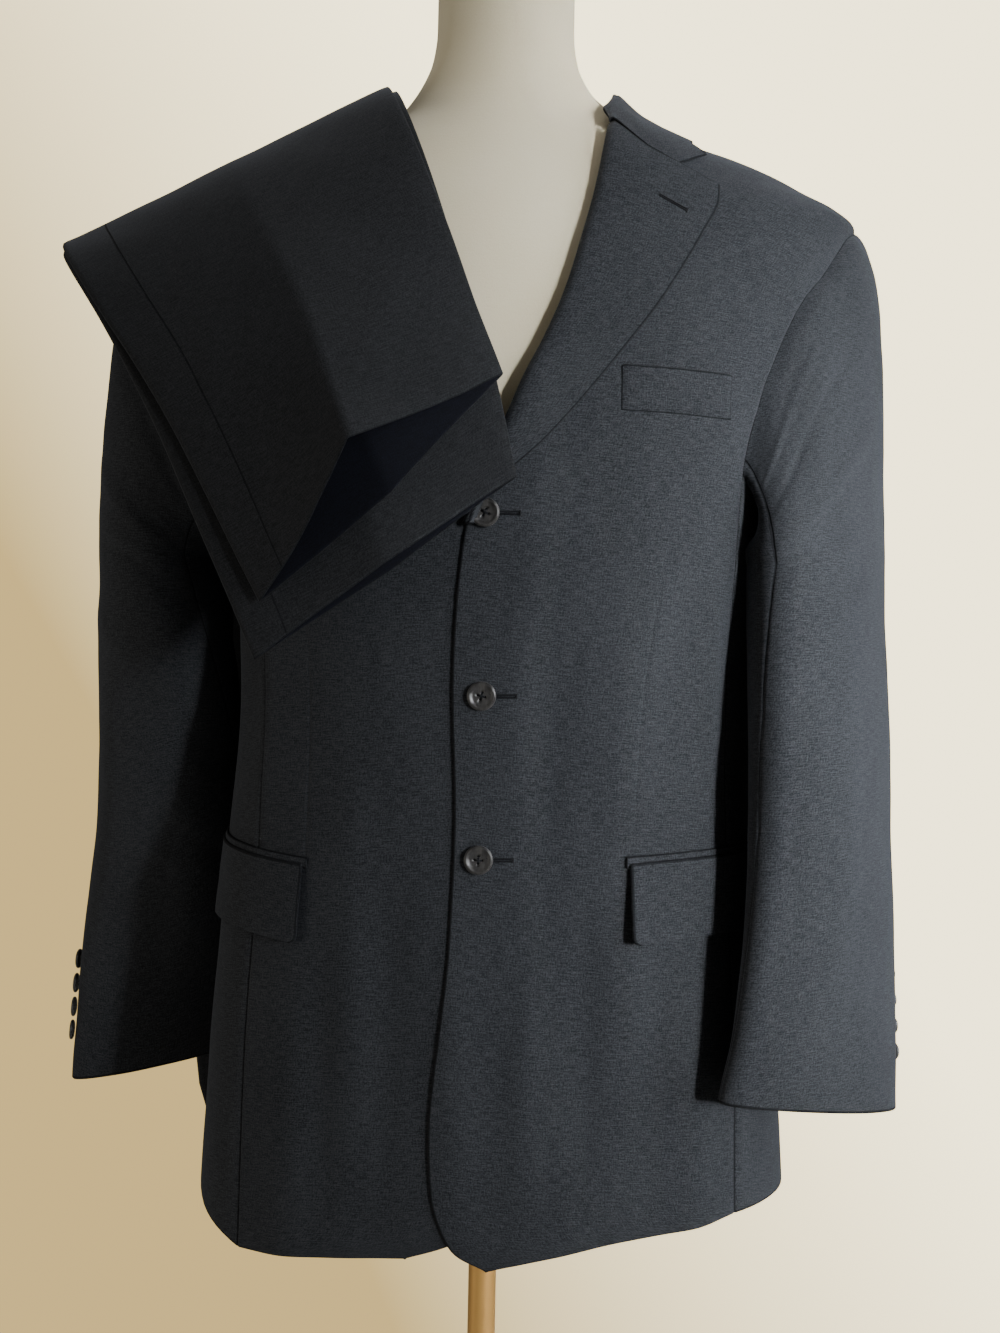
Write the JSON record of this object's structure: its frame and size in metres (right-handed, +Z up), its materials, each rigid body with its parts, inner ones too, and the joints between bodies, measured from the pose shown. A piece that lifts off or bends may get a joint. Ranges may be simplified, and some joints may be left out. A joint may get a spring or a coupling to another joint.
{
  "type": "two-piece suit on a limbless dress form",
  "caption": "Men's two-piece suit shown on a limbless dress form: a three-button notch-lapel jacket, and its trousers laid over one shoulder.",
  "frame": {"origin": "centre of the underside of the stand's round base", "axes": "+X to the wearer's left, +Y to the wearer's back, +Z up"},
  "size_m": [0.6073, 0.3682, 1.5871],
  "materials": {
    "suiting": "fine matt wool",
    "horn": "semi-gloss dark horn",
    "cover": "stretched pale jersey",
    "brass": "polished"
  },
  "bodies": {
    "root": {"back_left": "suiting", "back_right": "suiting", "base": "suiting", "breast_welt": "suiting", "collar": "suiting", "cuff_button_left_1": "horn", "cuff_button_left_2": "horn", "cuff_button_left_3": "horn", "cuff_button_left_4": "horn", "cuff_button_right_1": "horn", "cuff_button_right_2": "horn", "cuff_button_right_3": "horn", "cuff_button_right_4": "horn", "flap_left": "suiting", "flap_right": "suiting", "form_body": "suiting", "front_button_1": "horn", "front_button_2": "horn", "front_button_3": "horn", "front_left": "suiting", "front_right": "suiting", "jet_left": "suiting", "jet_right": "suiting", "lapel_left": "suiting", "lapel_right": "suiting", "leg_left_back": "suiting", "leg_left_front": "suiting", "leg_right_back": "suiting", "leg_right_front": "suiting", "neck_cap": "suiting", "pole": "suiting", "side_left": "suiting", "side_right": "suiting", "sleeve_under_left": "suiting", "sleeve_under_right": "suiting", "sleeve_upper_left": "suiting", "sleeve_upper_right": "suiting", "waistband": "suiting"}
  },
  "joints": []
}
